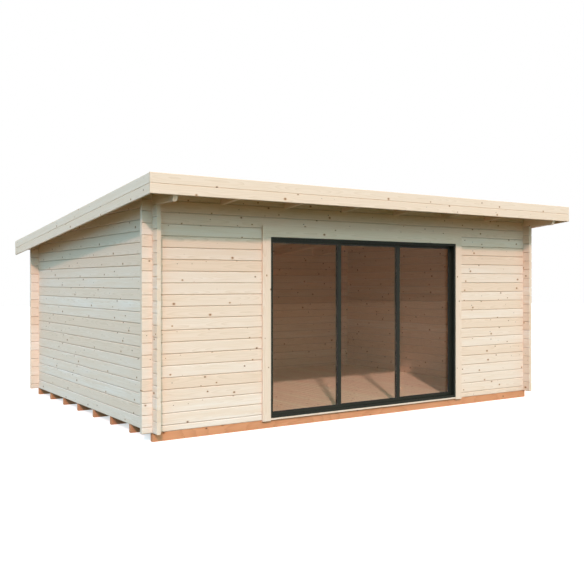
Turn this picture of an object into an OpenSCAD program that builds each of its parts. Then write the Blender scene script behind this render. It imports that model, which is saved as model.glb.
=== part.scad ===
// Garden house: crossed log walls under a mono-pitch roof that is high at the front, with a
// three-panel sliding glass door. The origin is on the ground, under the middle of the roof's
// outline. +X is to the right seen from the front, +Y to the back and +Z up.

/* [Walls] */
// Width over the outer faces of the side walls
wall_w = 5325; // [4600:5:6200]
// Depth over the outer faces of the front and back walls
wall_d = 3840; // [3200:5:4600]
// Height of the front wall above the door frame, up to the roof boards
over_door_h = 428; // [320:1:600]
// Height of a log course
log_h = 114; // [100:1:130]
// Thickness of a log
log_t = 44; // [34:1:58]
// Chamfer along the edges of a log
log_chamfer = 7.5; // [1:0.5:8]
// Length of the log ends beyond a corner
corner_reach = 104; // [60:2:150]
// Height that the first course adds below the first wall joint
first_extra = 3; // [0:1:20]

/* [Floor] */
// Width of a foundation joist
joist_w = 45; // [35:1:70]
// Height of a foundation joist
joist_h = 85; // [60:1:140]
// Number of foundation joists
joist_count = 8; // [5:1:12]
// Distance of the joists inside the walls' outer faces
joist_inset = 6; // [0:1:20]
// Thickness of the floor boards
floor_t = 19; // [16:1:28]
// Gap between the floor and the walls
floor_gap = 5; // [0.5:0.5:10]

/* [Roof] */
// Slope of the roof in degrees
roof_slope = 5.13; // [3:0.01:8]
// Reach of the roof in front of the front wall
front_overhang = 505; // [300:5:700]
// Reach of the roof beyond each side wall
side_overhang = 240; // [180:5:400]
// Reach of the roof behind the back wall
back_overhang = 240; // [180:5:400]
// Number of rafters between the side walls
rafter_count = 6; // [4:1:9]
// Width of a rafter
rafter_w = 45; // [35:1:70]
// Height of a rafter
rafter_h = 120; // [90:1:160]
// Thickness of the roof boards
deck_t = 19; // [16:1:28]
// Thickness of the roof membrane
membrane_t = 3; // [1:0.5:6]
// Thickness of the fascia boards
fascia_t = 20; // [16:1:28]
// Height of the upper fascia board
fascia_upper_h = 98; // [80:1:120]
// Height of the lower fascia board
fascia_lower_h = 92; // [70:1:120]
// Height of the back fascia board
back_fascia_h = 105; // [60:1:118]
// Height of the front and side fascias above the membrane
fascia_rise = 8; // [3:1:20]
// Chamfer along the fascia boards
fascia_chamfer = 4.5; // [1:0.5:6]
// Width of the battens that carry the side fascias
batten_w = 45; // [30:1:60]
// Height of the battens that carry the side fascias
batten_h = 95; // [70:1:110]
// Height of the slanted end of the eave brackets
bracket_cut_h = 60; // [30:1:90]
// Length of the slanted end of the eave brackets
bracket_cut_run = 35; // [20:1:60]

/* [Door] */
// Width of the door frame
door_w = 2688; // [2300:5:3000]
// Height of the door frame
door_h = 1888; // [1800:1:1960]
// Visible face of the door frame
frame_face = 25; // [20:1:40]
// Thickness of the door frame's lips
frame_lip = 9; // [6:1:12]
// Thickness of the door frame's web
frame_web = 4; // [3:1:8]
// Depth of the groove between the door frame's lips, at the sill and head
track_depth = 8; // [5:1:12]
// Reach of the door frame in front of the wall
frame_proud = 22; // [12:1:40]
// Thickness of a door panel
panel_t = 20; // [16:1:30]
// Space between panels on neighbouring tracks
track_space = 6; // [6:1:12]
// Width of the left door panel
left_panel_w = 920; // [850:5:960]
// Width of the middle door panel
middle_panel_w = 930; // [850:5:980]
// Width of the stiles where panels meet
meeting_stile_w = 44; // [30:1:60]
// Width of the left panel's stile at the jamb
left_stile_w = 20; // [16:1:50]
// Width of the right panel's lock stile
lock_stile_w = 44; // [30:1:60]
// Height of the panels' top rail
top_rail_h = 28; // [24:1:60]
// Height of the panels' bottom rail
bottom_rail_h = 32; // [24:1:80]
// Thickness of the glass
glass_t = 8; // [6:1:12]
// Width of the running rails on the sill
runner_w = 5; // [3:1:8]
// Reach of the threshold in front of the wall
threshold_proud = 20; // [0:1:22]
// Width of the casing boards beside the door
casing_w = 98; // [80:1:130]
// Width of the casing board above the door
top_casing_w = 117; // [80:1:140]
// Thickness of the casing boards
casing_t = 28; // [14:1:40]
// Reach of the casing below the walls
casing_drop = 7; // [0:1:20]
// Gap between the door frame and the logs
door_gap = 5; // [2:1:10]

/* [Hidden] */

// Gap between pieces that bear on each other
joint = 0.3;
// Running gap beside the door panels
run_gap = 3;
// Running gap between the door panels and the frame's sill and head
panel_gap = 2;
// Gap between the door frame and the casing boards
casing_gap = 2;
// Distance that a cut runs past the face it goes through
past = 1;
// Least height of a log where it crosses another, right under the roof
lump_min = 6;
// Least height of a log's end under the roof
tip_min = 8;
// Least height of the short logs on top of the front and back walls
filler_min = 30;
// Chamfer along the edges of boards
board_chamfer = 2;

// Walls: their outer and inner faces, and the height of the first joint
roof_d = wall_d + front_overhang + back_overhang;
wall_x = wall_w / 2;
front_y = front_overhang - roof_d / 2;
back_y = front_y + wall_d;
front_inner_y = front_y + log_t;
back_inner_y = back_y - log_t;
grid_z = joist_h + first_extra;

// Door: the frame's front, its tracks and its place above the floor
door_x = door_w / 2;
door_y = front_y - frame_proud;
door_z = joist_h + floor_t + joint;
door_top_z = door_z + door_h;
track_pitch = panel_t + track_space;
frame_d = 2 * (frame_lip + run_gap) + 3 * panel_t + 2 * track_space;
opening_x = door_x + door_gap;
opening_top_z = door_top_z + door_gap;

// Door panels: their ends beside the jambs, and their heights
panel_end_x = door_x - frame_web - run_gap;
panel_z = door_z + frame_face + panel_gap;
panel_top_z = door_top_z - frame_face - panel_gap;
left_x0 = -panel_end_x;
left_x1 = left_x0 + left_panel_w;
middle_x0 = left_x1 - meeting_stile_w;
middle_x1 = middle_x0 + middle_panel_w;
right_x0 = middle_x1 - meeting_stile_w;

// Casing boards: they lie on the wall around the door frame
casing_x = door_x + casing_gap;
casing_y = front_y - casing_t - joint;
casing_z = joist_h - casing_drop;
casing_top_z = door_top_z + casing_gap;

// Roof: a point on it is given by the way down its slope, and the height square to it
under_front_z = door_top_z + over_door_h;
roof_x = wall_x + side_overhang;
roof_front_y = -roof_d / 2;
slope_len = roof_d / cos(roof_slope);
roof_pack = fascia_rise + membrane_t + deck_t;
behind_fascia_y = roof_front_y + fascia_t + joint;
slope_end = slope_len - fascia_t - joint;
roof_top_z = under_z(roof_front_y) + roof_pack / cos(roof_slope);
inside_fascia_x = roof_x - fascia_t - joint;

// Height of the roof boards' underside at a depth y
function under_z(y) = under_front_z - (y - front_y) * tan(roof_slope);

// Depth at which the roof boards' underside is at height z
function under_y(z) = front_y + (under_front_z - z) / tan(roof_slope);

// A depth and height from the way down the roof's slope and the height square to it
function slope_point(run, rise) =
    [roof_front_y + run * cos(roof_slope) + rise * sin(roof_slope),
     roof_top_z - run * sin(roof_slope) + rise * cos(roof_slope)];

// The same, right behind the upright front fascia
function front_point(rise) =
    [behind_fascia_y,
     under_z(behind_fascia_y) + (roof_pack + rise) / cos(roof_slope)];

// Lower joint of course k of the side walls, and of the front and back walls
function side_z(k) = k == 0 ? joist_h : grid_z + k * log_h;
function front_z(k) = k == 0 ? joist_h : grid_z + (k - 0.5) * log_h;

// Courses below the roof: the side walls' last one that runs its whole depth, and each wall's top one
side_full = floor((under_z(back_y + corner_reach) - grid_z) / log_h) - 1;
side_top = floor((under_z(front_inner_y) - tip_min - grid_z) / log_h);
front_top = floor((under_z(front_inner_y) - filler_min - grid_z) / log_h + 0.5);
back_top = floor((under_z(back_y) - filler_min - grid_z) / log_h + 0.5);
door_top = floor((opening_top_z - grid_z) / log_h + 0.5);

function side_top_z(k) = k == side_top ? roof_top_z : side_z(k + 1);
function front_top_z(k) = k == front_top ? roof_top_z : front_z(k + 1);
function back_top_z(k) = k == back_top ? roof_top_z : front_z(k + 1);

// Extrudes an outline of depth and height along X
module along_x(x0, x1) {
    translate([x0, 0, 0]) rotate([90, 0, 90]) linear_extrude(x1 - x0) children();
}

// Extrudes an outline of width and height along Y
module along_y(y0, y1) {
    translate([0, y1, 0]) rotate([90, 0, 0]) linear_extrude(y1 - y0) children();
}

// A rectangle with chamfered corners
module chamfered(w, h, c) {
    polygon([[0, c], [c, 0], [w - c, 0], [w, c], [w, h - c], [w - c, h], [c, h], [0, h - c]]);
}

// A board with chamfered edges, along X or along Z
module board_x(x0, x1, y, z, t, h, c = board_chamfer) {
    translate([0, y, z]) along_x(x0, x1) chamfered(t, h, c);
}

module board_z(x, y, z0, z1, w, t) {
    translate([x, y, z0]) linear_extrude(z1 - z0) chamfered(w, t, board_chamfer);
}

// A log along X or along Y, between two joints
module log_x(x0, x1, y, z0, z1) {
    translate([0, y, z0 + joint / 2]) along_x(x0, x1) chamfered(log_t, z1 - z0 - joint, log_chamfer);
}

module log_y(y0, y1, x, z0, z1) {
    translate([x, 0, z0 + joint / 2]) along_y(y0, y1) chamfered(log_t, z1 - z0 - joint, log_chamfer);
}

// What the crossing wall takes out of a log whose middle joint height is mid_z: all but its
// middle half, and less than that right under the roof
module crossing_cut(x, y, mid_z, roof_z) {
    side = log_t + 2 * joint;
    top_z = mid_z + log_h / 4;
    low = min(mid_z - log_h / 4, roof_z - lump_min) + joint / 2;
    high = top_z > roof_z ? roof_z + past : min(top_z, roof_z - lump_min) - joint / 2;
    if (mid_z > grid_z) translate([x - joint, y - joint, low - log_h]) cube([side, side, log_h]);
    translate([x - joint, y - joint, high]) cube([side, side, log_h]);
}

// The space below the roof boards
module under_roof() {
    y0 = roof_front_y;
    y1 = -roof_front_y;
    along_x(-roof_x, roof_x)
        polygon([[y0, 0], [y1, 0], [y1, under_z(y1) - joint], [y0, under_z(y0) - joint]]);
}

// A layer of the roof between two heights square to its slope, down to a given way along it
module roof_layer(x0, x1, low, high, end = slope_end) {
    along_x(x0, x1)
        polygon([front_point(low), slope_point(end, low), slope_point(end, high), front_point(high)]);
}

// The rafters, or the notches for them when grow is above 0
module rafter_row(grow) {
    pitch = wall_w / (rafter_count + 1);
    half_w = rafter_w / 2 + grow;
    for (k = [1 : rafter_count])
        translate([k * pitch - wall_x, 0, 0])
            roof_layer(-half_w, half_w, -roof_pack - rafter_h - grow, -roof_pack - joint + grow);
}

// A whole log of the front or back wall, with its outer face at y on the front wall's side
module crossed_log_x(y, k, z1, roof_z) {
    difference() {
        log_x(-wall_x - corner_reach, wall_x + corner_reach, y, front_z(k), z1);
        for (x = [-wall_x, wall_x - log_t]) crossing_cut(x, y, grid_z + k * log_h, roof_z);
    }
}

// A front log beside the door, on the left side
module short_log(k) {
    top_z = min(front_z(k + 1), opening_top_z);
    difference() {
        log_x(-wall_x - corner_reach, -opening_x, front_y, front_z(k), top_z);
        crossing_cut(-wall_x, front_y, grid_z + k * log_h, under_z(front_inner_y));
    }
}

module half_front_wall() {
    for (k = [0 : door_top - 1]) short_log(k);
}

// A side wall's log on the left side; the top two run forward to the fascia as a bracket
module crossed_log_y(k) {
    y0 = k >= side_top - 1 ? behind_fascia_y : front_y - corner_reach;
    tip_y = under_y(side_z(k) + tip_min);
    y1 = tip_y > back_y ? min(tip_y, back_y + corner_reach) : min(tip_y, back_inner_y - joint);
    mid_z = grid_z + (k + 0.5) * log_h;
    difference() {
        log_y(y0, y1, -wall_x, side_z(k), side_top_z(k));
        crossing_cut(-wall_x, front_y, mid_z, under_z(front_inner_y));
        crossing_cut(-wall_x, back_inner_y, mid_z, under_z(back_y));
        if (k == side_top - 1) bracket_end_cut(side_z(k));
    }
}

// The slanted end of the bracket, below the fascia
module bracket_end_cut(z) {
    y = behind_fascia_y;
    along_x(-wall_x - past, -wall_x + log_t + past)
        polygon([[y - bracket_cut_run, z - bracket_cut_h], [y + 2 * bracket_cut_run, z - bracket_cut_h],
                 [y - bracket_cut_run, z + 2 * bracket_cut_h]]);
}

module half_side_wall() {
    for (k = [0 : side_full]) crossed_log_y(k);
}

module half_gable() {
    for (k = [side_full + 1 : side_top])
        intersection() {
            crossed_log_y(k);
            under_roof();
        }
}

module foundation_joists() color("#b5753f") {
    len = wall_w - 2 * joist_inset;
    pitch = (wall_d - 2 * joist_inset - joist_w) / (joist_count - 1);
    for (k = [0 : joist_count - 1])
        translate([-len / 2, front_y + joist_inset + k * pitch, 0]) cube([len, joist_w, joist_h]);
}

module floor() color("#dcc19b") {
    x = wall_x - log_t - floor_gap;
    y0 = front_inner_y + floor_gap;
    translate([-x, y0, joist_h]) cube([2 * x, back_inner_y - floor_gap - y0, floor_t]);
}

module front_wall_left() color("#e0cba9") half_front_wall();

module front_wall_right() color("#e0cba9") mirror([1, 0, 0]) half_front_wall();

module front_wall_over_door() color("#dfc9a6") {
    for (k = [door_top : front_top - 1])
        difference() {
            crossed_log_x(front_y, k, front_top_z(k), under_z(front_inner_y));
            rafter_row(joint);
            translate([-opening_x, front_y - past, 0])
                cube([2 * opening_x, log_t + 2 * past, opening_top_z]);
        }
}

module front_eave_fillers() color("#d9c29f") {
    difference() {
        intersection() {
            crossed_log_x(front_y, front_top, front_top_z(front_top), under_z(front_inner_y));
            under_roof();
        }
        rafter_row(joint);
    }
}

module back_wall() color("#e0cba9") {
    for (k = [0 : back_top - 1])
        difference() {
            crossed_log_x(back_inner_y, k, back_top_z(k), under_z(back_y));
            rafter_row(joint);
        }
}

module back_eave_fillers() color("#d9c29f") {
    difference() {
        intersection() {
            crossed_log_x(back_inner_y, back_top, back_top_z(back_top), under_z(back_y));
            under_roof();
        }
        rafter_row(joint);
    }
}

module left_wall() color("#dcc8a8") half_side_wall();

module right_wall() color("#dcc8a8") mirror([1, 0, 0]) half_side_wall();

module left_gable() color("#dcc8a8") half_gable();

module right_gable() color("#dcc8a8") mirror([1, 0, 0]) half_gable();

module rafters() color("#cdb48f") rafter_row(0);

module roof_deck() color("#d2b993") {
    roof_layer(-inside_fascia_x, inside_fascia_x, -roof_pack, -roof_pack + deck_t);
}

module roof_membrane() color("#2f3133") {
    top = -fascia_rise;
    roof_layer(-inside_fascia_x, inside_fascia_x, top - membrane_t + joint, top, slope_len);
}

module side_batten() {
    top = -roof_pack - joint;
    roof_layer(-inside_fascia_x, batten_w - inside_fascia_x, top - batten_h, top);
}

module left_roof_batten() color("#cdb48f") side_batten();

module right_roof_batten() color("#cdb48f") mirror([1, 0, 0]) side_batten();

// The front fascia runs the roof's whole width; top is the board's upper edge
module front_board(top, h) {
    board_x(-roof_x, roof_x, roof_front_y, roof_top_z + top - h + joint / 2, fascia_t, h - joint,
            fascia_chamfer);
}

// The left fascia runs down the slope behind it, to the roof's back end
module side_board(top, h) {
    intersection() {
        translate([-roof_x, roof_front_y, roof_top_z]) rotate([-roof_slope, 0, 0])
            translate([0, 0, top - h + joint / 2])
                along_y(-fascia_t, slope_len) chamfered(fascia_t, h - joint, fascia_chamfer);
        translate([-roof_x - past, behind_fascia_y, 0])
            cube([fascia_t + 2 * past, roof_d, roof_top_z + past]);
    }
}

module front_fascia_upper() color("#e6cfaa") front_board(0, fascia_upper_h);

module front_fascia_lower() color("#e9d4b0") front_board(-fascia_upper_h, fascia_lower_h);

module left_fascia_upper() color("#e6cfaa") side_board(0, fascia_upper_h);

module left_fascia_lower() color("#e9d4b0") side_board(-fascia_upper_h, fascia_lower_h);

module right_fascia_upper() color("#e6cfaa") mirror([1, 0, 0]) side_board(0, fascia_upper_h);

module right_fascia_lower() color("#e9d4b0") mirror([1, 0, 0]) side_board(-fascia_upper_h, fascia_lower_h);

// The back fascia lies between the side ones, under the membrane's edge
module back_fascia() color("#e6cfaa") {
    corner = slope_point(slope_len - fascia_t, -fascia_rise - membrane_t - back_fascia_h);
    translate([0, corner[0], corner[1]]) rotate([-roof_slope, 0, 0])
        board_x(-inside_fascia_x, inside_fascia_x, 0, 0, fascia_t, back_fascia_h, fascia_chamfer);
}

// The strip that carries the door frame between the casing boards
module door_threshold() color("#e6cfaa") {
    x = casing_x - joint;
    translate([-x, front_y - threshold_proud, joist_h + joint])
        cube([2 * x, log_t + threshold_proud, floor_t - joint]);
}

// Outline of the sill, with its lips and the rails that the panels run on; the head has guides
module track_outline(runner_top) {
    groove = frame_face - track_depth;
    square([frame_d, groove]);
    for (y = [0, frame_d - frame_lip]) translate([y, 0]) square([frame_lip, frame_face]);
    for (k = [0 : 2])
        translate([frame_lip + run_gap + panel_t / 2 + k * track_pitch - runner_w / 2, 0])
            square([runner_w, runner_top]);
}

module door_sill() color("#2c3133") {
    x = door_x - frame_web - joint;
    translate([0, door_y, door_z]) along_x(-x, x) track_outline(frame_face + panel_gap - joint);
}

module door_head() color("#2c3133") {
    x = door_x - frame_web - joint;
    translate([0, door_y, door_top_z]) mirror([0, 0, 1]) along_x(-x, x)
        track_outline(frame_face + panel_gap / 2);
}

// The left jamb: a web with a lip at the front and back, between the sill's and head's lips
module jamb() {
    lip_z = frame_face + joint;
    translate([-door_x, door_y, door_z]) {
        cube([frame_web, frame_d, door_h]);
        for (y = [0, frame_d - frame_lip])
            translate([0, y, lip_z]) cube([frame_face, frame_lip, door_h - 2 * lip_z]);
    }
}

module door_jamb_left() color("#2c3133") jamb();

module door_jamb_right() color("#2c3133") mirror([1, 0, 0]) jamb();

// A door panel's four bars on a track, from x0 to x1, with its left and right stiles' widths
module panel_bars(track, x0, x1, left_w, right_w) {
    y = door_y + frame_lip + run_gap + track * track_pitch;
    h = panel_top_z - panel_z;
    rail_x = x0 + left_w + joint;
    rail_w = x1 - right_w - joint - rail_x;
    translate([x0, y, panel_z]) cube([left_w, panel_t, h]);
    translate([x1 - right_w, y, panel_z]) cube([right_w, panel_t, h]);
    translate([rail_x, y, panel_z]) cube([rail_w, panel_t, bottom_rail_h]);
    translate([rail_x, y, panel_top_z - top_rail_h]) cube([rail_w, panel_t, top_rail_h]);
}

// The pane between them
module panel_pane(track, x0, x1, left_w, right_w) {
    x = x0 + left_w + joint;
    y = door_y + frame_lip + run_gap + track * track_pitch + (panel_t - glass_t) / 2;
    z = panel_z + bottom_rail_h + joint;
    translate([x, y, z]) cube([x1 - right_w - joint - x, glass_t, panel_top_z - top_rail_h - joint - z]);
}

module left_panel_frame() color("#2c3133") {
    panel_bars(0, left_x0, left_x1, left_stile_w, meeting_stile_w);
}

module left_panel_glass() color("#8a7a66", 0.4) {
    panel_pane(0, left_x0, left_x1, left_stile_w, meeting_stile_w);
}

module middle_panel_frame() color("#2c3133") {
    panel_bars(1, middle_x0, middle_x1, meeting_stile_w, meeting_stile_w);
}

module middle_panel_glass() color("#8a7a66", 0.4) {
    panel_pane(1, middle_x0, middle_x1, meeting_stile_w, meeting_stile_w);
}

module right_panel_frame() color("#2c3133") {
    panel_bars(2, right_x0, panel_end_x, meeting_stile_w, lock_stile_w);
}

module right_panel_glass() color("#8a7a66", 0.4) {
    panel_pane(2, right_x0, panel_end_x, meeting_stile_w, lock_stile_w);
}

module door_casing_left() color("#ead6b4") {
    board_z(-casing_x - casing_w, casing_y, casing_z, casing_top_z - joint, casing_w, casing_t);
}

module door_casing_right() color("#ead6b4") {
    board_z(casing_x, casing_y, casing_z, casing_top_z - joint, casing_w, casing_t);
}

module door_casing_top() color("#ead6b4") {
    board_x(-casing_x - casing_w, casing_x + casing_w, casing_y, casing_top_z, casing_t, top_casing_w);
}

foundation_joists();
floor();
front_wall_left();
front_wall_right();
front_wall_over_door();
front_eave_fillers();
back_wall();
back_eave_fillers();
left_wall();
right_wall();
left_gable();
right_gable();
rafters();
roof_deck();
roof_membrane();
left_roof_batten();
right_roof_batten();
front_fascia_upper();
front_fascia_lower();
left_fascia_upper();
left_fascia_lower();
right_fascia_upper();
right_fascia_lower();
back_fascia();
door_threshold();
door_sill();
door_head();
door_jamb_left();
door_jamb_right();
left_panel_frame();
left_panel_glass();
middle_panel_frame();
middle_panel_glass();
right_panel_frame();
right_panel_glass();
door_casing_left();
door_casing_right();
door_casing_top();
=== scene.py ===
import math

import bpy
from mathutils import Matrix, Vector


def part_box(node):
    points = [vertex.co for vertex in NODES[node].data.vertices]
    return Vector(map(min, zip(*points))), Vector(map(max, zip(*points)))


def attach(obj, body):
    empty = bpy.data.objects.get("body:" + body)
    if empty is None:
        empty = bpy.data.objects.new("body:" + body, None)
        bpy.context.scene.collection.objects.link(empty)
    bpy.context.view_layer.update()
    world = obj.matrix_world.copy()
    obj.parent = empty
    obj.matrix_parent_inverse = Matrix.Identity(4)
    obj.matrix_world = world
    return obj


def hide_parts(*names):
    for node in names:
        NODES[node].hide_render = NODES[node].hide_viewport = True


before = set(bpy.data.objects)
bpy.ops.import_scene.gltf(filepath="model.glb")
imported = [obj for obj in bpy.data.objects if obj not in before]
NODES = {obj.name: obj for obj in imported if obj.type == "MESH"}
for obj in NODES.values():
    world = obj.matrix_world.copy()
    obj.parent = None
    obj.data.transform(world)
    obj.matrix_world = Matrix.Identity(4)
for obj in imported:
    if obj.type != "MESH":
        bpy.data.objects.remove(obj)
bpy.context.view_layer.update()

bl_info = {
    "name": "Log garden house",
    "version": (1, 0, 0),
    "blender": (4, 5, 0),
    "location": "View3D > Sidebar > Garden House",
    "description": "Gives the garden house its wood, metal, glass and boards, and stands it in a studio",
    "category": "Object",
}

WHOLE = 1.0  # a course taller than any board, for pieces that are one board each


def linear(code):
    """The linear RGB values of an sRGB hex colour."""
    channels = [int(code[i:i + 2], 16) / 255 for i in (1, 3, 5)]
    return [c / 12.92 if c <= 0.04045 else ((c + 0.055) / 1.055) ** 2.4 for c in channels]


def colour_setting(name, description, code):
    """A colour property whose default is an sRGB hex colour."""
    return bpy.props.FloatVectorProperty(
        name=name, description=description, default=linear(code), subtype="COLOR", min=0.0, max=1.0)


def length_setting(name, description, default):
    """A length property in metres."""
    return bpy.props.FloatProperty(
        name=name, description=description, default=default, unit="LENGTH", min=0.0, precision=4)


# ---------------------------------------------------------------------------- settings


class SpruceSettings(bpy.types.PropertyGroup):
    """Colours and figure of the planed spruce."""

    pale: colour_setting("Pale", "Earlywood of the palest logs", "#F4E0D0")
    warm: colour_setting("Warm", "Warmer streaks along the grain", "#ECCFB5")
    pink: colour_setting("Pink", "Tone of the pinker logs", "#E9C9AE")
    latewood: colour_setting("Latewood", "The year rings' darker lines", "#CBA67C")
    halo: colour_setting("Knot halo", "Resin-coloured wood around a knot", "#C48C5E")
    knot: colour_setting("Knot", "Heart of a knot", "#44200E")
    ring: length_setting("Year ring", "Spacing of the year rings, drawn wide enough to show", 0.010)
    knot_cell: length_setting("Knot spacing", "Size of the cells that may hold a knot each", 0.115)
    knot_size: length_setting("Knot radius", "Radius of the largest knots", 0.0090)
    # the dark line where two boards meet is painted shade in the gap between them
    seam: length_setting("Seam", "Width of the dark line where two boards meet", 0.005)
    course: length_setting("Log course", "Height of a log course", 0.114)
    first: length_setting("First joint", "Height of the side walls' lowest joint line", 0.088)


class BoardSettings(bpy.types.PropertyGroup):
    """Boards of the floor and the roof."""

    width: length_setting("Board width", "Face width that the boards come closest to", 0.096)
    chamfer: length_setting("Chamfer", "Chamfer along the boards' edges", 0.0025)
    gap: length_setting("Gap", "Gap between neighbouring boards", 0.0006)


class DoorSettings(bpy.types.PropertyGroup):
    """Finish of the sliding door."""

    coat: colour_setting("Powder coat", "Anthracite powder coat on the profiles", "#2A2A22")
    glass: colour_setting("Glass tint", "Light that passes a pane", "#FEFCFA")
    sheen: colour_setting("Glass sheen", "Colour of what a pane mirrors", "#F0D4AC")
    room: colour_setting("Room light", "Daylight that a pane lets into the room", "#A99C88")
    bead: length_setting("Gasket radius", "Radius of the rubber bead around a pane", 0.0035)


class StageSettings(bpy.types.PropertyGroup):
    """Camera, lights and floor of the studio."""

    place: bpy.props.FloatVectorProperty(
        name="Camera", description="Where the camera stands", default=(-5.6585, -8.6755, 1.524),
        subtype="TRANSLATION", unit="LENGTH")
    heading: bpy.props.FloatProperty(
        name="Heading", description="Turn of the camera to the right of the house's depth",
        default=math.radians(33.696), subtype="ANGLE")
    lens: bpy.props.FloatProperty(
        name="Lens", description="Focal length on a 36 mm sensor, in millimetres", default=47.96)
    rise: bpy.props.FloatProperty(
        name="Shift", description="Vertical lens shift, so that upright edges stay upright",
        default=-0.0171)
    to_sun: bpy.props.FloatVectorProperty(
        name="To the sun", description="Direction from the house to the key light",
        default=(-0.434, -0.722, 0.539), subtype="DIRECTION")
    sun: bpy.props.FloatProperty(name="Sun", description="Strength of the key light", default=1.86)
    sun_tone: colour_setting("Sun colour", "Colour of the key light", "#FFD9D4")
    sky: bpy.props.FloatProperty(name="Sky", description="Strength of the fill light", default=1.52)
    sky_tone: colour_setting("Sky colour", "Colour of the fill light", "#DAFCFF")
    cool_tone: colour_setting("Cool sky", "Colour of the fill light from the left", "#9CDCFF")
    low_tone: colour_setting("Low sky", "Colour of the fill light near the horizon", "#E2F5D4")
    far_tone: colour_setting("Far sky", "Colour of the fill light on the right and behind", "#FFF6F0")
    haze: bpy.props.FloatProperty(
        name="Haze", description="Extra fill light around the key light", default=1.6)
    ground_tone: colour_setting("Ground", "Light that the floor sends back up", "#3B400F")
    floor_tone: colour_setting("Floor", "The floor as the camera sees it", "#EED2C6")


class GardenHouseSettings(bpy.types.PropertyGroup):
    """All settings of the garden house."""

    spruce: bpy.props.PointerProperty(type=SpruceSettings)
    boards: bpy.props.PointerProperty(type=BoardSettings)
    door: bpy.props.PointerProperty(type=DoorSettings)
    stage: bpy.props.PointerProperty(type=StageSettings)


# ---------------------------------------------------------------------------- node trees


def add(tree, kind, settings=None, inputs=None):
    """Adds a node, sets its attributes, and links or sets its inputs."""
    node = tree.nodes.new(kind)
    for key, value in (settings or {}).items():
        setattr(node, key, value)
    for key, value in (inputs or {}).items():
        if isinstance(value, bpy.types.NodeSocket):
            tree.links.new(value, node.inputs[key])
        else:
            node.inputs[key].default_value = value
    return node


def rgba(colour):
    """A colour property as the four numbers that a colour socket takes."""
    return (*colour[:3], 1.0)


def new_material(name):
    """A material with an empty node tree."""
    material = bpy.data.materials.new(name)
    material.use_nodes = True
    material.node_tree.nodes.clear()
    return material


# ---------------------------------------------------------------------------- wood


# The object axes that lie along the grain, across a piece's face and into it
AXES = {"X": "XZY", "Y": "YZX", "Z": "ZXY", "floor": "YXZ", "roof": "XYZ"}

# Figure of the wood. Lengths are in metres, and triples go along the grain, across it and into the board.
BOARD_SHIFT = 9.0  # each board's figure starts up to this far along
KNOT_SHARE = 0.5  # share of the cells that hold a knot
KNOT_STRETCH = (0.72, 1.0, 1.0)  # makes a knot longer along the grain
LEAST_KNOT = 0.0003  # radius of the smallest knots, too small to show
HEART_EDGE = (0.95, 0.7)  # where a knot's heart fades in, in shares of its radius
HALO_EDGE = (2.4, 0.8)  # where the resin around it fades in
STREAK_STRETCH = (1.0, 16.0, 16.0)  # makes streaks long and narrow
FIBRE_STRETCH = (3.0, 150.0, 150.0)  # makes fibres longer and narrower still
PITH_START = (0.0, -0.035, -0.045)  # nearest place of a board's pith, from the board's middle
PITH_SPREAD = (0.0, 0.07, 0.09)  # how much further on it may lie
PITH_WANDER = (0.0, 0.05, 0.08)  # how far it wanders along the board
RING_EDGE = 2.5  # how steeply a ring darkens towards its latewood
RING_DEPTH = 0.55  # how dark the latewood gets
END_DEPTH = 0.16  # how dark cut ends get
GROOVE_SHADE_DEPTH = 0.32  # how dark the painted shade in a groove gets

# Softwoods by their colours: pale, warm, pink, latewood, knot halo and knot
TREATED_PINE = ("#E2A072", "#D28853", "#D38A60", "#A65E2C", "#9A5A2C", "#4E2A14")
FLOOR_SPRUCE = ("#FBEDD2", "#F5E0BF", "#F3D9BC", "#CBA67C", "#C48C5E", "#44200E")


def spruce_tones():
    """Colours of planed, untreated spruce: pale cream with honey streaks and small brown knots."""
    settings = bpy.context.scene.garden_house.spruce
    return (settings.pale, settings.warm, settings.pink, settings.latewood, settings.halo, settings.knot)


def board_numbers(tree, across, depth, course, beams, seed):
    """The way across a board from its middle, and a number of each board's or beam's own."""
    start, pitch = course
    steps = add(tree, "ShaderNodeMath", {"operation": "SUBTRACT"}, {0: across, 1: start}).outputs[0]
    board = add(tree, "ShaderNodeMath", {"operation": "DIVIDE"}, {0: steps, 1: pitch}).outputs[0]
    board = add(tree, "ShaderNodeMath", {"operation": "FLOOR"}, {0: board}).outputs[0]
    middle = add(tree, "ShaderNodeMath", {"operation": "MULTIPLY_ADD"},
                 {0: board, 1: pitch, 2: start + pitch / 2}).outputs[0]
    side = add(tree, "ShaderNodeMath", {"operation": "SUBTRACT"}, {0: across, 1: middle}).outputs[0]
    number = add(tree, "ShaderNodeMath", {"operation": "ADD"}, {0: board, 1: seed}).outputs[0]
    if beams:
        start, pitch = beams
        steps = add(tree, "ShaderNodeMath", {"operation": "SUBTRACT"}, {0: depth, 1: start}).outputs[0]
        beam = add(tree, "ShaderNodeMath", {"operation": "DIVIDE"}, {0: steps, 1: pitch}).outputs[0]
        beam = add(tree, "ShaderNodeMath", {"operation": "FLOOR"}, {0: beam}).outputs[0]
        number = add(tree, "ShaderNodeMath", {"operation": "ADD"}, {0: beam, 1: number}).outputs[0]
    return side, number


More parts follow.
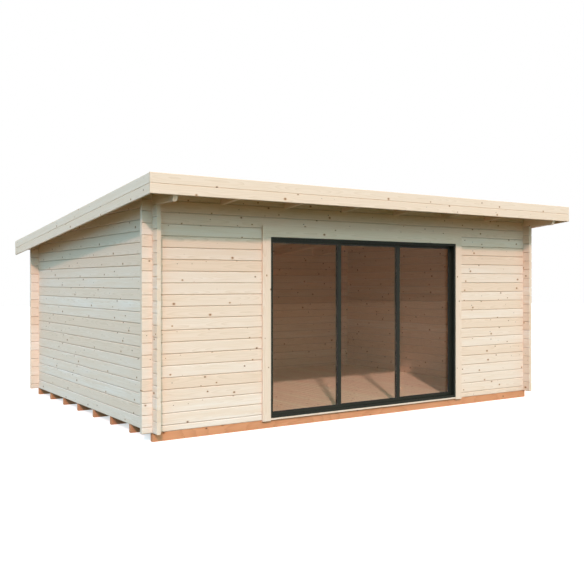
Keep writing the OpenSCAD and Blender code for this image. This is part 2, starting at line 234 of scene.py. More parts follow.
def knots_in(tree, space, settings, knots):
    """The hearts and halos of the knots, which run through the board, and each knot's random numbers."""
    cells = add(tree, "ShaderNodeVectorMath", {"operation": "MULTIPLY"},
                {0: space, 1: KNOT_STRETCH}).outputs[0]
    cells = add(tree, "ShaderNodeTexVoronoi", {"voronoi_dimensions": "2D"},
                {"Vector": cells, "Scale": 1 / settings.knot_cell})
    lot = add(tree, "ShaderNodeSeparateColor", None, {0: cells.outputs["Color"]}).outputs
    away = add(tree, "ShaderNodeMath", {"operation": "MULTIPLY"},
               {0: cells.outputs["Distance"], 1: settings.knot_cell}).outputs[0]
    size = add(tree, "ShaderNodeMapRange", None,
               {"Value": lot[0], "From Min": 1 - KNOT_SHARE * knots, "From Max": 1.0,
                "To Min": LEAST_KNOT, "To Max": settings.knot_size}).outputs[0]
    knot = add(tree, "ShaderNodeMath", {"operation": "DIVIDE"}, {0: away, 1: size}).outputs[0]
    heart = add(tree, "ShaderNodeMapRange", {"interpolation_type": "SMOOTHSTEP"},
                {"Value": knot, "From Min": HEART_EDGE[0], "From Max": HEART_EDGE[1]}).outputs[0]
    halo = add(tree, "ShaderNodeMapRange", {"interpolation_type": "SMOOTHSTEP"},
               {"Value": knot, "From Min": HALO_EDGE[0], "From Max": HALO_EDGE[1]}).outputs[0]
    return heart, halo, lot


def fibres_in(tree, space):
    """Broad streaks and fine fibres, both drawn out along the grain."""
    drawn = add(tree, "ShaderNodeVectorMath", {"operation": "MULTIPLY"},
                {0: space, 1: STREAK_STRETCH}).outputs[0]
    streak = add(tree, "ShaderNodeTexNoise", None,
                 {"Vector": drawn, "Scale": 1.7, "Detail": 5.0, "Roughness": 0.62}).outputs["Fac"]
    fine = add(tree, "ShaderNodeVectorMath", {"operation": "MULTIPLY"},
               {0: space, 1: FIBRE_STRETCH}).outputs[0]
    fine = add(tree, "ShaderNodeTexNoise", None,
               {"Vector": fine, "Scale": 1.5, "Detail": 3.0}).outputs["Fac"]
    return streak, fine


def pith_of(tree, own, dice, core):
    """Where a board's pith lies: a place of its own for each board, and it wanders along the board."""
    wander = add(tree, "ShaderNodeTexNoise", {"noise_dimensions": "1D"},
                 {"W": own, "Scale": 0.9, "Detail": 1.5}).outputs["Color"]
    wander = add(tree, "ShaderNodeVectorMath", {"operation": "SUBTRACT"},
                 {0: wander, 1: (0.5, 0.5, 0.5)}).outputs[0]
    wander = add(tree, "ShaderNodeVectorMath", {"operation": "MULTIPLY"},
                 {0: wander, 1: PITH_WANDER}).outputs[0]
    start = (PITH_START[0], PITH_START[1], core + PITH_START[2])
    pith = add(tree, "ShaderNodeCombineXYZ", None, {0: 0.0, 1: dice[1], 2: dice[2]}).outputs[0]
    pith = add(tree, "ShaderNodeVectorMath", {"operation": "MULTIPLY_ADD"},
               {0: pith, 1: PITH_SPREAD, 2: start}).outputs[0]
    return add(tree, "ShaderNodeVectorMath", {"operation": "ADD"}, {0: pith, 1: wander}).outputs[0]


def latewood_in(tree, spot, pith, ring, streak, halo, fine):
    """The dark latewood of the year rings, which run round the pith and swell round each knot."""
    radius = add(tree, "ShaderNodeVectorMath", {"operation": "DISTANCE"},
                 {0: spot, 1: pith}).outputs["Value"]
    rings = add(tree, "ShaderNodeMath", {"operation": "DIVIDE"}, {0: radius, 1: ring}).outputs[0]
    rings = add(tree, "ShaderNodeMath", {"operation": "MULTIPLY_ADD"},
                {0: streak, 1: 1.0, 2: rings}).outputs[0]
    rings = add(tree, "ShaderNodeMath", {"operation": "ADD"}, {0: halo, 1: rings}).outputs[0]
    late = add(tree, "ShaderNodeMath", {"operation": "FRACT"}, {0: rings}).outputs[0]
    late = add(tree, "ShaderNodeMath", {"operation": "POWER"}, {0: late, 1: RING_EDGE}).outputs[0]
    return add(tree, "ShaderNodeMath", {"operation": "MULTIPLY"}, {0: late, 1: fine}).outputs[0]


def cut_ends(tree, grain_axis):
    """How much a face is a cut end, which drinks the light and looks a little darker."""
    facing = add(tree, "ShaderNodeTexCoord").outputs["Normal"]
    facing = add(tree, "ShaderNodeSeparateXYZ", None, {0: facing}).outputs["XYZ".index(grain_axis)]
    facing = add(tree, "ShaderNodeMath", {"operation": "ABSOLUTE"}, {0: facing}).outputs[0]
    return add(tree, "ShaderNodeMapRange", None,
               {"Value": facing, "From Min": 0.6, "From Max": 0.8, "To Max": END_DEPTH}).outputs[0]


def painted_groove_shade(tree, side, pitch, seam, cut):
    """Painted shade in the gap at the bottom of the groove where two boards meet. Cut ends have none."""
    edge = add(tree, "ShaderNodeMath", {"operation": "ABSOLUTE"}, {0: side}).outputs[0]
    groove_shade = add(tree, "ShaderNodeMapRange", {"interpolation_type": "SMOOTHSTEP"},
               {"Value": edge, "From Min": (pitch - seam) / 2 - 0.0015,
                "From Max": (pitch - seam) / 2 + 0.001, "To Max": GROOVE_SHADE_DEPTH}).outputs[0]
    return add(tree, "ShaderNodeMath", {"operation": "MULTIPLY_ADD"},
               {0: cut, 1: -GROOVE_SHADE_DEPTH / END_DEPTH, 2: groove_shade}).outputs[0]


def wood(name, tones, along, course, core, seed, turn=0.0, beams=None, knots=1.0, rough=0.62):
    """Sawn and planed softwood with year rings, streaks and knots.

    along is the axis of the grain. course is the start and pitch of the boards across it, on the
    axis that AXES gives, and core is the depth of the boards' middle. turn leans the pattern about X.
    beams is the start and pitch of pieces that follow each other in depth.
    """
    settings = bpy.context.scene.garden_house.spruce
    material = new_material(name)
    tree = material.node_tree
    place = add(tree, "ShaderNodeTexCoord").outputs["Object"]
    if turn:
        place = add(tree, "ShaderNodeMapping", None,
                    {"Vector": place, "Rotation": (turn, 0.0, 0.0)}).outputs[0]
    axes = add(tree, "ShaderNodeSeparateXYZ", None, {0: place}).outputs
    length, across, depth = (axes["XYZ".index(axis)] for axis in AXES[along])

    side, number = board_numbers(tree, across, depth, course, beams, seed)
    chance = add(tree, "ShaderNodeTexWhiteNoise", {"noise_dimensions": "1D"}, {"W": number})
    dice = add(tree, "ShaderNodeSeparateColor", None, {0: chance.outputs["Color"]}).outputs
    own = add(tree, "ShaderNodeMath", {"operation": "MULTIPLY_ADD"},
              {0: dice[0], 1: BOARD_SHIFT, 2: length}).outputs[0]
    space = add(tree, "ShaderNodeCombineXYZ", None, {0: own, 1: side, 2: depth}).outputs[0]
    spot = add(tree, "ShaderNodeCombineXYZ", None, {0: 0.0, 1: side, 2: depth}).outputs[0]
    heart, halo, lot = knots_in(tree, space, settings, knots)
    streak, fine = fibres_in(tree, space)
    pith = pith_of(tree, own, dice, core)
    late = latewood_in(tree, spot, pith, settings.ring, streak, halo, fine)

    # colour: streaks, the board's own tone, rings, knots, cut ends, then painted shade in the grooves
    pale, warm, pink, dark, resin, brown = (rgba(tone) for tone in tones)
    shade = add(tree, "ShaderNodeMapRange", None,
                {"Value": streak, "From Min": 0.3, "From Max": 0.7}).outputs[0]
    colour = add(tree, "ShaderNodeMix", {"data_type": "RGBA"}, {0: shade, 6: pale, 7: warm}).outputs[2]
    colour = add(tree, "ShaderNodeMix", {"data_type": "RGBA"},
                 {0: dice[2], 6: colour, 7: pink}).outputs[2]
    line = add(tree, "ShaderNodeMath", {"operation": "MULTIPLY"}, {0: late, 1: RING_DEPTH}).outputs[0]
    colour = add(tree, "ShaderNodeMix", {"data_type": "RGBA"}, {0: line, 6: colour, 7: dark}).outputs[2]
    glow = add(tree, "ShaderNodeMath", {"operation": "MULTIPLY"}, {0: halo, 1: lot[1]}).outputs[0]
    colour = add(tree, "ShaderNodeMix", {"data_type": "RGBA"},
                 {0: glow, 6: colour, 7: resin}).outputs[2]
    deep = add(tree, "ShaderNodeMapRange", None, {"Value": lot[2], "To Min": 0.45}).outputs[0]
    heartwood = add(tree, "ShaderNodeMix", {"data_type": "RGBA"},
                    {0: deep, 6: resin, 7: brown}).outputs[2]
    colour = add(tree, "ShaderNodeMix", {"data_type": "RGBA"},
                 {0: heart, 6: colour, 7: heartwood}).outputs[2]
    cut = cut_ends(tree, AXES[along][0])
    colour = add(tree, "ShaderNodeMix", {"data_type": "RGBA"}, {0: cut, 6: colour, 7: dark}).outputs[2]
    # painted shade: the gap at each groove's bottom is darkened into the colour
    groove_shade = painted_groove_shade(tree, side, course[1], settings.seam, cut)
    colour = add(tree, "ShaderNodeMix", {"data_type": "RGBA"},
                 {0: groove_shade, 6: colour, 7: brown}).outputs[2]

    relief = add(tree, "ShaderNodeMath", {"operation": "SUBTRACT"}, {0: fine, 1: late}).outputs[0]
    bump = add(tree, "ShaderNodeBump", None,
               {"Height": relief, "Strength": 0.25, "Distance": 0.0005}).outputs[0]
    gloss = add(tree, "ShaderNodeMapRange", None,
                {"Value": fine, "To Min": rough - 0.08, "To Max": rough + 0.1}).outputs[0]
    surface = add(tree, "ShaderNodeBsdfPrincipled", None,
                  {"Base Color": colour, "Roughness": gloss, "Normal": bump}).outputs[0]
    add(tree, "ShaderNodeOutputMaterial", None, {"Surface": surface})
    return material


# ---------------------------------------------------------------------------- other finishes

# How many of each pattern's marks go to a metre
COAT_PEBBLES = 420.0  # 2.4 mm apart, coarser than the real ones so that they show
COAT_FILM = 3.0
RUBBER_CLOUDS = 2.2
GLASS_ROLLERS = 0.8  # the faint bands that the rollers leave

PAPER_GLOW = (0.6, 0.6, 0.6, 1.0)  # lifts the floor's shadows to a pale grey


def rubber(name, code, grain, rough):
    """Calendered rubber sheet: matt and near black, with a faint cloudiness and a fine skin."""
    material = new_material(name)
    tree = material.node_tree
    place = add(tree, "ShaderNodeTexCoord").outputs["Object"]
    cloud = add(tree, "ShaderNodeTexNoise", None,
                {"Vector": place, "Scale": RUBBER_CLOUDS, "Detail": 4.0}).outputs["Fac"]
    skin = add(tree, "ShaderNodeTexNoise", None,
               {"Vector": place, "Scale": 1 / grain, "Detail": 2.0}).outputs["Fac"]
    base = linear(code)
    colour = add(tree, "ShaderNodeMix", {"data_type": "RGBA"},
                 {0: cloud, 6: rgba([c * 0.75 for c in base]), 7: rgba([c * 1.4 for c in base])}).outputs[2]
    bump = add(tree, "ShaderNodeBump", None,
               {"Height": skin, "Strength": 0.3, "Distance": 0.0008}).outputs[0]
    gloss = add(tree, "ShaderNodeMapRange", None,
                {"Value": cloud, "To Min": rough - 0.1, "To Max": rough + 0.1}).outputs[0]
    surface = add(tree, "ShaderNodeBsdfPrincipled", None,
                  {"Base Color": colour, "Roughness": gloss, "Normal": bump}).outputs[0]
    add(tree, "ShaderNodeOutputMaterial", None, {"Surface": surface})
    return material


def powder_coat(name, tone):
    """Powder-coated aluminium: a satin, faintly pebbled skin that softens its highlights."""
    material = new_material(name)
    tree = material.node_tree
    place = add(tree, "ShaderNodeTexCoord").outputs["Object"]
    pebble = add(tree, "ShaderNodeTexNoise", None,
                 {"Vector": place, "Scale": COAT_PEBBLES, "Detail": 2.0}).outputs["Fac"]
    film = add(tree, "ShaderNodeTexNoise", None,
               {"Vector": place, "Scale": COAT_FILM, "Detail": 3.0}).outputs["Fac"]
    colour = add(tree, "ShaderNodeMix", {"data_type": "RGBA"},
                 {0: film, 6: rgba([c * 0.88 for c in tone]), 7: rgba([c * 1.12 for c in tone])}).outputs[2]
    bump = add(tree, "ShaderNodeBump", None,
               {"Height": pebble, "Strength": 0.25, "Distance": 0.0002}).outputs[0]
    gloss = add(tree, "ShaderNodeMapRange", None, {"Value": film, "To Min": 0.4, "To Max": 0.52}).outputs[0]
    surface = add(tree, "ShaderNodeBsdfPrincipled", None,
                  {"Base Color": colour, "Roughness": gloss, "Specular IOR Level": 0.12,
                   "Normal": bump}).outputs[0]
    add(tree, "ShaderNodeOutputMaterial", None, {"Surface": surface})
    return material


def float_glass(name, tint, sheen, room):
    """Float glass with a bronze body tint: it darkens the room, and its sheen is warm.

    The room behind takes its daylight through a tint of its own, and shadows take the pane's.
    """
    material = new_material(name)
    tree = material.node_tree
    place = add(tree, "ShaderNodeTexCoord").outputs["Object"]
    roller = add(tree, "ShaderNodeTexNoise", None,
                 {"Vector": place, "Scale": GLASS_ROLLERS, "Detail": 1.0}).outputs["Fac"]
    colour = add(tree, "ShaderNodeMix", {"data_type": "RGBA"},
                 {0: roller, 6: rgba([c * 0.96 for c in tint]), 7: rgba(tint)}).outputs[2]
    glass = add(tree, "ShaderNodeBsdfPrincipled", None,
                {"Base Color": colour, "Roughness": 0.0, "IOR": 1.3, "Transmission Weight": 1.0,
                 "Specular Tint": rgba(sheen)}).outputs[0]
    # light passes both faces of a pane, so each takes the square root of the tint
    beam = add(tree, "ShaderNodeBsdfTransparent", None, {"Color": rgba([c ** 0.5 for c in tint])}).outputs[0]
    dusk = add(tree, "ShaderNodeBsdfTransparent", None, {"Color": rgba([c ** 0.5 for c in room])}).outputs[0]
    path = add(tree, "ShaderNodeLightPath").outputs
    surface = add(tree, "ShaderNodeMixShader", None,
                  {0: path["Is Diffuse Ray"], 1: glass, 2: dusk}).outputs[0]
    surface = add(tree, "ShaderNodeMixShader", None,
                  {0: path["Is Shadow Ray"], 1: surface, 2: beam}).outputs[0]
    add(tree, "ShaderNodeOutputMaterial", None, {"Surface": surface})
    return material


def eye_rays(tree):
    """1 for the rays that the eye follows: from the camera, off a mirror or through a pane."""
    path = add(tree, "ShaderNodeLightPath").outputs
    seen = add(tree, "ShaderNodeMath", {"operation": "ADD"},
               {0: path["Is Camera Ray"], 1: path["Is Glossy Ray"]}).outputs[0]
    return add(tree, "ShaderNodeMath", {"operation": "ADD", "use_clamp": True},
               {0: seen, 1: path["Is Transmission Ray"]}).outputs[0]


def studio_paper(name, settings):
    """Studio floor: white where the key light falls and grey in shade, and duller as a reflector."""
    material = new_material(name)
    tree = material.node_tree
    paper = add(tree, "ShaderNodeBsdfDiffuse", None, {"Color": rgba(settings.floor_tone)}).outputs[0]
    glow = add(tree, "ShaderNodeEmission", None, {"Color": PAPER_GLOW, "Strength": 1.0}).outputs[0]
    paper = add(tree, "ShaderNodeAddShader", None, {0: paper, 1: glow}).outputs[0]
    dull = add(tree, "ShaderNodeBsdfDiffuse", None, {"Color": rgba(settings.ground_tone)}).outputs[0]
    surface = add(tree, "ShaderNodeMixShader", None, {0: eye_rays(tree), 1: dull, 2: paper}).outputs[0]
    add(tree, "ShaderNodeOutputMaterial", None, {"Surface": surface})
    return material


# ---------------------------------------------------------------------------- places


def dress(material, *names):
    """Puts a material on CAD nodes."""
    for name in names:
        NODES[name].material_slots[0].material = material


def middle_of(node):
    """The middle of a CAD node's box."""
    low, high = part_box(node)
    return (low + high) / 2


def spacing(node, axis, count, width):
    """The start and pitch of the strips that hold one each of a node's evenly spaced beams."""
    low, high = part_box(node)
    pitch = (high[axis] - low[axis] - width) / (count - 1)
    return (low[axis] + width / 2 - pitch / 2, pitch)


def roof_slope():
    """The roof's slope, from the edges of its membrane."""
    low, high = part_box("roof_membrane")
    rise = high.z - low.z
    return math.atan(rise / (high.y - low.y))


# ---------------------------------------------------------------------------- geometry trees

BEAD_SIDES = 10


def socket(tree, name, kind, default=None):
    """Adds a named input to a geometry tree."""
    item = tree.interface.new_socket(name, in_out="INPUT", socket_type=kind)
    if default is not None:
        item.default_value = default
    return item


def board_row_tree():
    """A row of chamfered boards: they lie along X and follow each other along Y."""
    tree = bpy.data.node_groups.new("Row of boards", "GeometryNodeTree")
    for name, kind in (("Count", "NodeSocketInt"), ("Pitch", "NodeSocketFloat"),
                       ("Length", "NodeSocketFloat"), ("Thickness", "NodeSocketFloat"),
                       ("Gap", "NodeSocketFloat"), ("Chamfer", "NodeSocketFloat"),
                       ("Place", "NodeSocketVector"), ("Turn", "NodeSocketVector"),
                       ("Material", "NodeSocketMaterial")):
        socket(tree, name, kind)
    tree.interface.new_socket("Geometry", in_out="OUTPUT", socket_type="NodeSocketGeometry")
    given = add(tree, "NodeGroupInput").outputs
    width = add(tree, "ShaderNodeMath", {"operation": "SUBTRACT"},
                {0: given["Pitch"], 1: given["Gap"]}).outputs[0]
    outline = add(tree, "GeometryNodeCurvePrimitiveQuadrilateral", None,
                  {"Width": width, "Height": given["Thickness"]}).outputs[0]
    outline = add(tree, "GeometryNodeFilletCurve", {"mode": "POLY"},
                  {"Curve": outline, "Count": 1, "Radius": given["Chamfer"]}).outputs[0]
    reach = add(tree, "ShaderNodeCombineXYZ", None, {0: given["Length"]}).outputs[0]
    run = add(tree, "GeometryNodeCurvePrimitiveLine", None, {"End": reach}).outputs[0]
    board = add(tree, "GeometryNodeCurveToMesh", None,
                {"Curve": run, "Profile Curve": outline, "Fill Caps": True}).outputs[0]
    step = add(tree, "ShaderNodeCombineXYZ", None, {1: given["Pitch"]}).outputs[0]
    row = add(tree, "GeometryNodeMeshLine", None, {"Count": given["Count"], "Offset": step}).outputs[0]
    boards = add(tree, "GeometryNodeInstanceOnPoints", None, {"Points": row, "Instance": board}).outputs[0]
    boards = add(tree, "GeometryNodeRealizeInstances", None, {"Geometry": boards}).outputs[0]
    boards = add(tree, "GeometryNodeTransform", None,
                 {"Geometry": boards, "Translation": given["Place"], "Rotation": given["Turn"]}).outputs[0]
    boards = add(tree, "GeometryNodeSetMaterial", None,
                 {"Geometry": boards, "Material": given["Material"]}).outputs[0]
    add(tree, "NodeGroupOutput", None, {"Geometry": boards})
    return tree


def bead_tree():
    """Two rubber beads round a pane in the XZ plane, one on each of its faces."""
    tree = bpy.data.node_groups.new("Beads round a pane", "GeometryNodeTree")
    for name, kind in (("Width", "NodeSocketFloat"), ("Height", "NodeSocketFloat"),
                       ("Apart", "NodeSocketFloat"), ("Radius", "NodeSocketFloat"),
                       ("Place", "NodeSocketVector"), ("Material", "NodeSocketMaterial")):
        socket(tree, name, kind)
    tree.interface.new_socket("Geometry", in_out="OUTPUT", socket_type="NodeSocketGeometry")
    given = add(tree, "NodeGroupInput").outputs
    path = add(tree, "GeometryNodeCurvePrimitiveQuadrilateral", None,
               {"Width": given["Width"], "Height": given["Height"]}).outputs[0]
    outline = add(tree, "GeometryNodeCurvePrimitiveCircle", None,
                  {"Resolution": BEAD_SIDES, "Radius": given["Radius"]}).outputs[0]
    bead = add(tree, "GeometryNodeCurveToMesh", None,
               {"Curve": path, "Profile Curve": outline}).outputs[0]
    step = add(tree, "ShaderNodeCombineXYZ", None, {2: given["Apart"]}).outputs[0]
    pair = add(tree, "GeometryNodeMeshLine", None, {"Count": 2, "Offset": step}).outputs[0]
    beads = add(tree, "GeometryNodeInstanceOnPoints", None, {"Points": pair, "Instance": bead}).outputs[0]
    beads = add(tree, "GeometryNodeRealizeInstances", None, {"Geometry": beads}).outputs[0]
    beads = add(tree, "GeometryNodeTransform", None,
                {"Geometry": beads, "Translation": given["Place"],
                 "Rotation": (math.radians(-90), 0.0, 0.0)}).outputs[0]
    beads = add(tree, "GeometryNodeSetMaterial", None,
                {"Geometry": beads, "Material": given["Material"]}).outputs[0]
    add(tree, "NodeGroupOutput", None, {"Geometry": beads})
    return tree


def grow(name, tree, values, body):
    """Makes a plain mesh piece from a geometry tree and its named inputs, riding on a body."""
    seed_mesh = bpy.data.meshes.new(name + "_seed")
    maker = bpy.data.objects.new(name + "_maker", seed_mesh)
    bpy.context.scene.collection.objects.link(maker)
    modifier = maker.modifiers.new("Shape", "NODES")
    modifier.node_group = tree
    for item in tree.interface.items_tree:
        if item.in_out == "INPUT":
            modifier[item.identifier] = values[item.name]
    depsgraph = bpy.context.evaluated_depsgraph_get()
    mesh = bpy.data.meshes.new_from_object(maker.evaluated_get(depsgraph), depsgraph=depsgraph)
    bpy.data.objects.remove(maker)
    bpy.data.meshes.remove(seed_mesh)
    mesh.name = name
    piece = bpy.data.objects.new(name, mesh)
    bpy.context.scene.collection.objects.link(piece)
    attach(piece, body)
    return piece


# ---------------------------------------------------------------------------- pieces

JOISTS = 8
RAFTERS = 6
BEAM_WIDTH = 0.045  # width of a joist and of a rafter
# how many knots a wood shows, from none at 0 to half of its cells at 1
FRONT_KNOTS = 0.95
SIDE_KNOTS = 0.9
ROOF_KNOTS = 0.8
DOOR_KNOTS = 0.6


class GARDENHOUSE_OT_log_walls(bpy.types.Operator):
    """Dress the log walls in planed spruce, each log with its own tone and grain"""

    bl_idname = "garden_house.log_walls"
    bl_label = "Log walls"

    def execute(self, context):
        settings = context.scene.garden_house.spruce
        side_course = (settings.first, settings.course)
        front_course = (settings.first - settings.course / 2, settings.course)
        walls = (
            ("Front left logs", "X", front_course, 11, ("front_wall_left",)),
            ("Front right logs", "X", front_course, 157, ("front_wall_right",)),
            ("Lintel logs", "X", front_course, 293, ("front_wall_over_door", "front_eave_fillers")),
            ("Back logs", "X", front_course, 419, ("back_wall", "back_eave_fillers")),
            ("Left logs", "Y", side_course, 571, ("left_wall", "left_gable")),
            ("Right logs", "Y", side_course, 719, ("right_wall", "right_gable")),
        )
        for name, along, course, seed, nodes in walls:
            centre = middle_of(nodes[0])
            core = centre.y if along == "X" else centre.x
            knots = FRONT_KNOTS if along == "X" else SIDE_KNOTS
            dress(wood(name, spruce_tones(), along, course, core, seed, knots=knots), *nodes)
        return {"FINISHED"}


class GARDENHOUSE_OT_foundation(bpy.types.Operator):
    """Dress the foundation joists in pressure-treated pine"""

    bl_idname = "garden_house.foundation"
    bl_label = "Foundation joists"

    def execute(self, context):
        # Treated pine: the salts turn it orange-brown, darker in the rings and at the ends
        tones = [linear(code) for code in TREATED_PINE]
        material = wood("Treated pine joists", tones, "X", (-WHOLE / 2, WHOLE), 0.0, 23,
                        beams=spacing("foundation_joists", 1, JOISTS, BEAM_WIDTH), rough=0.78)
        dress(material, "foundation_joists")
        return {"FINISHED"}


class GARDENHOUSE_OT_floor_boards(bpy.types.Operator):
    """Lay the floor from spruce boards that run from front to back"""

    bl_idname = "garden_house.floor_boards"
    bl_label = "Floor boards"

    def execute(self, context):
        settings = context.scene.garden_house.boards
        low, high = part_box("floor")
        count = round((high.x - low.x) / settings.width)
        pitch = (high.x - low.x) / count
        tones = [linear(code) for code in FLOOR_SPRUCE]
        material = wood("Spruce floor boards", tones, "floor", (low.x, pitch),
                        (low.z + high.z) / 2, 883)
        values = {
            "Count": count, "Pitch": pitch, "Length": high.y - low.y, "Thickness": high.z - low.z,
            "Gap": settings.gap, "Chamfer": settings.chamfer / 2,
            "Place": (low.x + pitch / 2, high.y, (low.z + high.z) / 2),
            "Turn": (0.0, 0.0, math.radians(-90)), "Material": material,
        }
        piece = grow("floor_boards", board_row_tree(), values, "house")
        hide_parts("floor")
        return {"FINISHED"}


class GARDENHOUSE_OT_roof_boards(bpy.types.Operator):
    """Lay the roof's boards over the rafters, chamfered so that the soffit shows their joints"""

    bl_idname = "garden_house.roof_boards"
    bl_label = "Roof boards"

    def execute(self, context):
        settings = context.scene.garden_house.boards
        low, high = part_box("roof_deck")
        slope = roof_slope()
        thickness = (high.z - low.z - (high.y - low.y) * math.tan(slope)) * math.cos(slope)
        run = (high.y - low.y) / math.cos(slope)
        count = round(run / settings.width)
        pitch = run / count
        material = wood("Spruce roof boards", spruce_tones(), "roof", (0.0, pitch), 0.0, 1019, turn=slope)
        values = {
            "Count": count, "Pitch": pitch, "Length": high.x - low.x, "Thickness": thickness,
            "Gap": settings.gap, "Chamfer": settings.chamfer,
            "Place": (low.x, low.y + pitch / 2 * math.cos(slope),
                      high.z - thickness / 2 / math.cos(slope) - pitch / 2 * math.sin(slope)),
            "Turn": (-slope, 0.0, 0.0), "Material": material,
        }
        piece = grow("roof_boards", board_row_tree(), values, "house")
        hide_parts("roof_deck")
        return {"FINISHED"}


class GARDENHOUSE_OT_roof_frame(bpy.types.Operator):
    """Dress the rafters, fascias and membrane of the roof"""

    bl_idname = "garden_house.roof_frame"
    bl_label = "Rafters, fascias and membrane"

    def execute(self, context):
        tones = spruce_tones()
        slope = roof_slope()
        one_board = (-WHOLE / 2, WHOLE)
        dress(wood("Spruce rafters", tones, "Y", one_board, 0.0, 1301, turn=slope,
                   beams=spacing("rafters", 0, RAFTERS, BEAM_WIDTH), knots=ROOF_KNOTS), "rafters")
        dress(wood("Spruce roof battens", tones, "Y", one_board, 0.0, 1361, turn=slope, knots=ROOF_KNOTS),
              "left_roof_batten", "right_roof_batten")
        fascias = ("front_fascia_upper", "front_fascia_lower", "back_fascia",
                   "left_fascia_upper", "left_fascia_lower", "right_fascia_upper", "right_fascia_lower")
        for seed, name in enumerate(fascias):
            centre = middle_of(name)
            side = name.startswith(("left", "right"))
            start = centre.z * math.cos(slope) + centre.y * math.sin(slope) if side else centre.z
            dress(wood("Spruce " + name.replace("_", " "), tones, "Y" if side else "X",
                       (start - WHOLE / 2, WHOLE), centre.x if side else centre.y, 1549 + 3 * seed,
                       turn=slope if side else 0.0, knots=ROOF_KNOTS), name)
        dress(rubber("Roofing membrane", "#2E3033", 0.004, 0.8), "roof_membrane")
        return {"FINISHED"}


class GARDENHOUSE_OT_door_frame(bpy.types.Operator):
    """Dress the door's aluminium profiles, threshold and casing boards"""

    bl_idname = "garden_house.door_frame"
    bl_label = "Door frame and casing"

    def execute(self, context):
        settings = context.scene.garden_house
        dress(powder_coat("Powder-coated aluminium", settings.door.coat),
              "door_sill", "door_head", "door_jamb_left", "door_jamb_right",
              "left_panel_frame", "middle_panel_frame", "right_panel_frame")
        tones = spruce_tones()
        for seed, name in enumerate(("door_casing_left", "door_casing_right")):
            centre = middle_of(name)
            dress(wood("Spruce " + name.replace("_", " "), tones, "Z", (centre.x - WHOLE / 2, WHOLE),
                       centre.y, 1600 + 5 * seed, knots=DOOR_KNOTS), name)
        for seed, name in enumerate(("door_casing_top", "door_threshold")):
            centre = middle_of(name)
            dress(wood("Spruce " + name.replace("_", " "), tones, "X", (centre.z - WHOLE / 2, WHOLE),
                       centre.y, 1709 + 5 * seed, knots=DOOR_KNOTS), name)
        return {"FINISHED"}


class GARDENHOUSE_OT_glazing(bpy.types.Operator):
    """Glaze the door's panels and run a rubber bead round each pane"""

    bl_idname = "garden_house.glazing"
    bl_label = "Glass and gaskets"

    def execute(self, context):
        settings = context.scene.garden_house.door
        glass = float_glass("Bronze float glass", settings.glass, settings.sheen, settings.room)
        gasket = rubber("Glazing rubber", "#17181A", 0.002, 0.6)
        tree = bead_tree()
        for panel, body in (("left", "house"), ("middle", "middle_panel"), ("right", "right_panel")):
            dress(glass, panel + "_panel_glass")
            low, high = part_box(panel + "_panel_glass")
            radius = settings.bead
            thickness = high.y - low.y
            values = {
                "Width": high.x - low.x - 2 * radius, "Height": high.z - low.z - 2 * radius,
                "Apart": thickness + radius, "Radius": radius,
                "Place": ((low.x + high.x) / 2, low.y - radius / 2, (low.z + high.z) / 2),
                "Material": gasket,
            }
            grow(panel + "_panel_gasket", tree, values, body)
        return {"FINISHED"}


# ---------------------------------------------------------------------------- studio

SENSOR = 36.0  # width of the camera's sensor, in millimetres
SUN_SPREAD = math.radians(2.8)  # angle that the key light fills, which softens its shadows
FLOOR_REACH = 40.0
FLOOR_DROP = 0.0005  # keeps the floor clear of the joists' undersides

# The fill light fades between two values of a direction's part: X to the right, Z up, or along a named way
LEFT_EDGE = (0.3, -0.8)  # X, to the cool tone
LOW_EDGE = (0.0, 0.1)  # Z, from the low tone
SKY_EDGE = (0.0, 0.125)  # Z, from the least strength to the full one
CROWN_EDGE = (0.4, 0.8)  # Z, to the crown's strength
FAR_WAY = (1.0, 0.6, 0.3)
FAR_EDGE = (0.2, 0.8)  # along FAR_WAY, to the far tone
HAZE_EDGE = (0.7, 1.0)  # towards the key light, to the full haze
LEAST_SKY = 0.2
FULL_SKY = 1.12
CROWN_SKY = 0.72
WHITE = (1.0, 1.0, 1.0, 1.0)


def set_camera(scene, settings):
    """A level camera whose view is shifted, so that upright edges stay upright."""
    lens = bpy.data.cameras.new("Camera")
    lens.lens = settings.lens
    lens.sensor_width = SENSOR
    lens.shift_y = settings.rise
    camera = bpy.data.objects.new("Camera", lens)
    camera.location = settings.place
    camera.rotation_euler = (math.radians(90), 0.0, -settings.heading)
    scene.collection.objects.link(camera)
    scene.camera = camera


def set_key(scene, settings):
    """The key light: a warm sun from the front left."""
    lamp = bpy.data.lights.new("Key", "SUN")
    lamp.energy = settings.sun
    lamp.angle = SUN_SPREAD
    lamp.color = settings.sun_tone
    key = bpy.data.objects.new("Key", lamp)
    key.rotation_mode = "QUATERNION"
    key.rotation_quaternion = Vector(settings.to_sun).to_track_quat("Z", "Y")
    scene.collection.objects.link(key)


